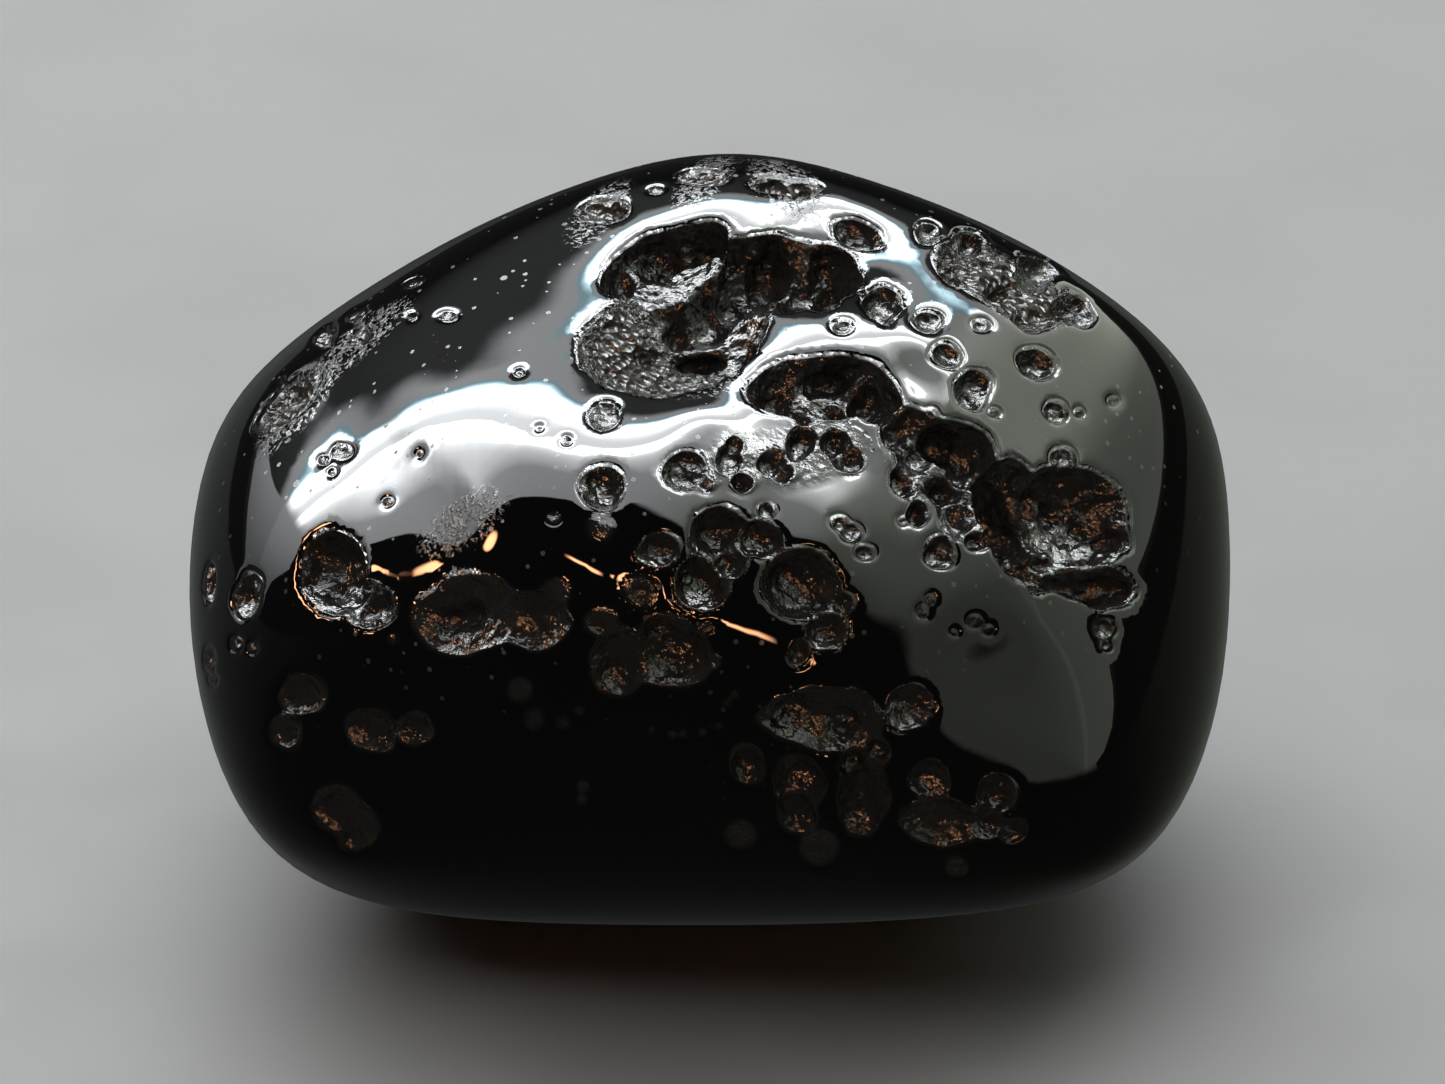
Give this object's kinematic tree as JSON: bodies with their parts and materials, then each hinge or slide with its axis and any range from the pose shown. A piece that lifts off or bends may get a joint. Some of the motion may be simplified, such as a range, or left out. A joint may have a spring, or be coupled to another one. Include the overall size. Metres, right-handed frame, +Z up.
{
  "type": "tumbled tektite",
  "caption": "Tumbled pebble of black natural glass with clusters of bubble pits, lying on a flat underside.",
  "frame": {"origin": "centre of the bounding box at the height of the surface that the stone lies on", "axes": "+X along the stone's long side, -Y towards its most pitted side, +Z up"},
  "size_m": [0.0258, 0.022, 0.0182],
  "materials": {
    "tektite_glass": "tumble-polished opaque black glass, matt and sparkling inside the bubble pits"
  },
  "bodies": {
    "root": {"tektite": "tektite_glass"}
  },
  "joints": []
}
